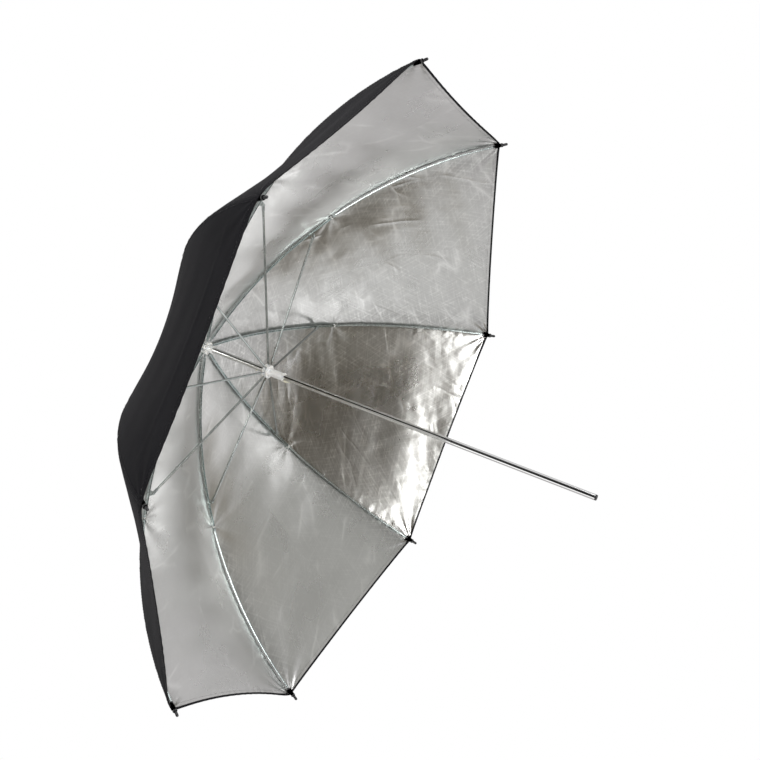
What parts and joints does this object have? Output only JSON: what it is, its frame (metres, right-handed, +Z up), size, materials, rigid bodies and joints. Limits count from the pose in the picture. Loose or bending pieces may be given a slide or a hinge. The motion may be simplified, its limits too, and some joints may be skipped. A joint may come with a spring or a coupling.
{
  "type": "umbrella reflector",
  "caption": "Folding umbrella reflector: ribbed dish of black-backed silver fabric on a plain tube shaft, with a sliding runner, hinged stretchers and a sprung catch.",
  "frame": {"origin": "on the shaft's axis, in the middle of the stretch that a holder clamps", "axes": "+X along the shaft from the crown to the free end, so the dish opens towards +X; +Z up"},
  "size_m": [0.627, 0.8818, 0.8818],
  "materials": {
    "shaft_chrome": "polished",
    "rib_steel": "bright zinc",
    "stretcher_steel": "bright zinc",
    "wire_steel": "bright",
    "white_nylon": "satin",
    "cream_nylon": "satin",
    "black_plastic": "satin",
    "reflector_fabric": "silver coating inside, matte black outside",
    "black_fabric": "matte woven",
    "thread": "twisted thread"
  },
  "bodies": {
    "root": {"shaft_tube": "shaft_chrome", "shaft_end_plug": "black_plastic", "crown_notch": "white_nylon", "crown_wire": "wire_steel", "crown_pin": "wire_steel", "crown_cap": "black_plastic", "crown_washer": "black_plastic", "runner_stop_pin": "cream_nylon"},
    "runner": {"runner": "white_nylon", "runner_wire": "wire_steel"},
    "runner_catch": {"runner_catch": "cream_nylon"},
    "rib_inner_1": {"rib_inner_1": "rib_steel", "canopy_inner_1": "reflector_fabric"},
    "rib_outer_1": {"rib_outer_1": "rib_steel", "rib_tip_1": "black_plastic", "canopy_outer_1": "reflector_fabric"},
    "stretcher_1": {"stretcher_1": "stretcher_steel"},
    "rib_inner_2": {"rib_inner_2": "rib_steel", "canopy_inner_2": "reflector_fabric"},
    "rib_outer_2": {"rib_outer_2": "rib_steel", "rib_tip_2": "black_plastic", "canopy_outer_2": "reflector_fabric"},
    "stretcher_2": {"stretcher_2": "stretcher_steel"},
    "rib_inner_3": {"rib_inner_3": "rib_steel", "canopy_inner_3": "reflector_fabric"},
    "rib_outer_3": {"rib_outer_3": "rib_steel", "rib_tip_3": "black_plastic", "canopy_outer_3": "reflector_fabric"},
    "stretcher_3": {"stretcher_3": "stretcher_steel"},
    "rib_inner_4": {"rib_inner_4": "rib_steel", "canopy_inner_4": "reflector_fabric"},
    "rib_outer_4": {"rib_outer_4": "rib_steel", "rib_tip_4": "black_plastic", "canopy_outer_4": "reflector_fabric"},
    "stretcher_4": {"stretcher_4": "stretcher_steel"},
    "rib_inner_5": {"rib_inner_5": "rib_steel", "canopy_inner_5": "reflector_fabric"},
    "rib_outer_5": {"rib_outer_5": "rib_steel", "rib_tip_5": "black_plastic", "canopy_outer_5": "reflector_fabric"},
    "stretcher_5": {"stretcher_5": "stretcher_steel"},
    "rib_inner_6": {"rib_inner_6": "rib_steel", "canopy_inner_6": "reflector_fabric"},
    "rib_outer_6": {"rib_outer_6": "rib_steel", "rib_tip_6": "black_plastic", "canopy_outer_6": "reflector_fabric"},
    "stretcher_6": {"stretcher_6": "stretcher_steel"},
    "rib_inner_7": {"rib_inner_7": "rib_steel", "canopy_inner_7": "reflector_fabric"},
    "rib_outer_7": {"rib_outer_7": "rib_steel", "rib_tip_7": "black_plastic", "canopy_outer_7": "reflector_fabric"},
    "stretcher_7": {"stretcher_7": "stretcher_steel"},
    "rib_inner_8": {"rib_inner_8": "rib_steel", "canopy_inner_8": "reflector_fabric"},
    "rib_outer_8": {"rib_outer_8": "rib_steel", "rib_tip_8": "black_plastic", "canopy_outer_8": "reflector_fabric"},
    "stretcher_8": {"stretcher_8": "stretcher_steel"}
  },
  "joints": [
    {"name": "rib_fold_1", "type": "hinge", "parent": "root", "child": "rib_inner_1", "pos_m": [-0.436, 0.00647, 0.00268], "axis": [0, 0.3827, -0.9239], "range_deg": [0, 70], "deforming": ["canopy_inner_1"]},
    {"name": "rib_spring_1", "type": "hinge", "parent": "rib_inner_1", "child": "rib_outer_1", "pos_m": [-0.37185, 0.2478, 0.10264], "axis": [0, -0.3827, 0.9239], "range_deg": [0, 26.51], "deforming": ["canopy_outer_1"]},
    {"name": "stretcher_fold_1", "type": "hinge", "parent": "rib_inner_1", "child": "stretcher_1", "pos_m": [-0.38358, 0.20998, 0.08698], "axis": [0, -0.3827, 0.9239], "range_deg": [0, 140]},
    {"name": "rib_fold_2", "type": "hinge", "parent": "root", "child": "rib_inner_2", "pos_m": [-0.436, 0.00268, 0.00647], "axis": [0, 0.9239, -0.3827], "range_deg": [0, 70], "deforming": ["canopy_inner_2"]},
    {"name": "rib_spring_2", "type": "hinge", "parent": "rib_inner_2", "child": "rib_outer_2", "pos_m": [-0.37185, 0.10264, 0.2478], "axis": [0, -0.9239, 0.3827], "range_deg": [0, 26.51], "deforming": ["canopy_outer_2"]},
    {"name": "stretcher_fold_2", "type": "hinge", "parent": "rib_inner_2", "child": "stretcher_2", "pos_m": [-0.38358, 0.08698, 0.20998], "axis": [0, -0.9239, 0.3827], "range_deg": [0, 140]},
    {"name": "rib_fold_3", "type": "hinge", "parent": "root", "child": "rib_inner_3", "pos_m": [-0.436, -0.00268, 0.00647], "axis": [0, 0.9239, 0.3827], "range_deg": [0, 70], "deforming": ["canopy_inner_3"]},
    {"name": "rib_spring_3", "type": "hinge", "parent": "rib_inner_3", "child": "rib_outer_3", "pos_m": [-0.37185, -0.10264, 0.2478], "axis": [0, -0.9239, -0.3827], "range_deg": [0, 26.51], "deforming": ["canopy_outer_3"]},
    {"name": "stretcher_fold_3", "type": "hinge", "parent": "rib_inner_3", "child": "stretcher_3", "pos_m": [-0.38358, -0.08698, 0.20998], "axis": [0, -0.9239, -0.3827], "range_deg": [0, 140]},
    {"name": "rib_fold_4", "type": "hinge", "parent": "root", "child": "rib_inner_4", "pos_m": [-0.436, -0.00647, 0.00268], "axis": [0, 0.3827, 0.9239], "range_deg": [0, 70], "deforming": ["canopy_inner_4"]},
    {"name": "rib_spring_4", "type": "hinge", "parent": "rib_inner_4", "child": "rib_outer_4", "pos_m": [-0.37185, -0.2478, 0.10264], "axis": [0, -0.3827, -0.9239], "range_deg": [0, 26.51], "deforming": ["canopy_outer_4"]},
    {"name": "stretcher_fold_4", "type": "hinge", "parent": "rib_inner_4", "child": "stretcher_4", "pos_m": [-0.38358, -0.20998, 0.08698], "axis": [0, -0.3827, -0.9239], "range_deg": [0, 140]},
    {"name": "rib_fold_5", "type": "hinge", "parent": "root", "child": "rib_inner_5", "pos_m": [-0.436, -0.00647, -0.00268], "axis": [0, -0.3827, 0.9239], "range_deg": [0, 70], "deforming": ["canopy_inner_5"]},
    {"name": "rib_spring_5", "type": "hinge", "parent": "rib_inner_5", "child": "rib_outer_5", "pos_m": [-0.37185, -0.2478, -0.10264], "axis": [0, 0.3827, -0.9239], "range_deg": [0, 26.51], "deforming": ["canopy_outer_5"]},
    {"name": "stretcher_fold_5", "type": "hinge", "parent": "rib_inner_5", "child": "stretcher_5", "pos_m": [-0.38358, -0.20998, -0.08698], "axis": [0, 0.3827, -0.9239], "range_deg": [0, 140]},
    {"name": "rib_fold_6", "type": "hinge", "parent": "root", "child": "rib_inner_6", "pos_m": [-0.436, -0.00268, -0.00647], "axis": [0, -0.9239, 0.3827], "range_deg": [0, 70], "deforming": ["canopy_inner_6"]},
    {"name": "rib_spring_6", "type": "hinge", "parent": "rib_inner_6", "child": "rib_outer_6", "pos_m": [-0.37185, -0.10264, -0.2478], "axis": [0, 0.9239, -0.3827], "range_deg": [0, 26.51], "deforming": ["canopy_outer_6"]},
    {"name": "stretcher_fold_6", "type": "hinge", "parent": "rib_inner_6", "child": "stretcher_6", "pos_m": [-0.38358, -0.08698, -0.20998], "axis": [0, 0.9239, -0.3827], "range_deg": [0, 140]},
    {"name": "rib_fold_7", "type": "hinge", "parent": "root", "child": "rib_inner_7", "pos_m": [-0.436, 0.00268, -0.00647], "axis": [0, -0.9239, -0.3827], "range_deg": [0, 70], "deforming": ["canopy_inner_7"]},
    {"name": "rib_spring_7", "type": "hinge", "parent": "rib_inner_7", "child": "rib_outer_7", "pos_m": [-0.37185, 0.10264, -0.2478], "axis": [0, 0.9239, 0.3827], "range_deg": [0, 26.51], "deforming": ["canopy_outer_7"]},
    {"name": "stretcher_fold_7", "type": "hinge", "parent": "rib_inner_7", "child": "stretcher_7", "pos_m": [-0.38358, 0.08698, -0.20998], "axis": [0, 0.9239, 0.3827], "range_deg": [0, 140]},
    {"name": "rib_fold_8", "type": "hinge", "parent": "root", "child": "rib_inner_8", "pos_m": [-0.436, 0.00647, -0.00268], "axis": [0, -0.3827, -0.9239], "range_deg": [0, 70], "deforming": ["canopy_inner_8"]},
    {"name": "rib_spring_8", "type": "hinge", "parent": "rib_inner_8", "child": "rib_outer_8", "pos_m": [-0.37185, 0.2478, -0.10264], "axis": [0, 0.3827, 0.9239], "range_deg": [0, 26.51], "deforming": ["canopy_outer_8"]},
    {"name": "stretcher_fold_8", "type": "hinge", "parent": "rib_inner_8", "child": "stretcher_8", "pos_m": [-0.38358, 0.20998, -0.08698], "axis": [0, 0.3827, 0.9239], "range_deg": [0, 140]},
    {"name": "runner_slide", "type": "hinge", "parent": "stretcher_1", "child": "runner", "pos_m": [-0.33116, 0.00647, 0.00268], "axis": [0, 0.3827, -0.9239], "range_deg": [0, 70]},
    {"name": "catch_press", "type": "slide", "parent": "root", "child": "runner_catch", "axis": [0, 0, 1], "range_m": [0, 0.0023], "stiffness_N_per_m": 200}
  ],
  "couplings": [
    {"joint": "rib_spring_1", "follows": "rib_fold_1", "ratio": 0.3786},
    {"joint": "stretcher_fold_1", "follows": "rib_fold_1", "ratio": 2},
    {"joint": "rib_fold_2", "follows": "rib_fold_1", "ratio": 1},
    {"joint": "rib_spring_2", "follows": "rib_fold_1", "ratio": 0.3786},
    {"joint": "stretcher_fold_2", "follows": "rib_fold_1", "ratio": 2},
    {"joint": "rib_fold_3", "follows": "rib_fold_1", "ratio": 1},
    {"joint": "rib_spring_3", "follows": "rib_fold_1", "ratio": 0.3786},
    {"joint": "stretcher_fold_3", "follows": "rib_fold_1", "ratio": 2},
    {"joint": "rib_fold_4", "follows": "rib_fold_1", "ratio": 1},
    {"joint": "rib_spring_4", "follows": "rib_fold_1", "ratio": 0.3786},
    {"joint": "stretcher_fold_4", "follows": "rib_fold_1", "ratio": 2},
    {"joint": "rib_fold_5", "follows": "rib_fold_1", "ratio": 1},
    {"joint": "rib_spring_5", "follows": "rib_fold_1", "ratio": 0.3786},
    {"joint": "stretcher_fold_5", "follows": "rib_fold_1", "ratio": 2},
    {"joint": "rib_fold_6", "follows": "rib_fold_1", "ratio": 1},
    {"joint": "rib_spring_6", "follows": "rib_fold_1", "ratio": 0.3786},
    {"joint": "stretcher_fold_6", "follows": "rib_fold_1", "ratio": 2},
    {"joint": "rib_fold_7", "follows": "rib_fold_1", "ratio": 1},
    {"joint": "rib_spring_7", "follows": "rib_fold_1", "ratio": 0.3786},
    {"joint": "stretcher_fold_7", "follows": "rib_fold_1", "ratio": 2},
    {"joint": "rib_fold_8", "follows": "rib_fold_1", "ratio": 1},
    {"joint": "rib_spring_8", "follows": "rib_fold_1", "ratio": 0.3786},
    {"joint": "stretcher_fold_8", "follows": "rib_fold_1", "ratio": 2},
    {"joint": "runner_slide", "follows": "rib_fold_1", "ratio": 1}
  ]
}
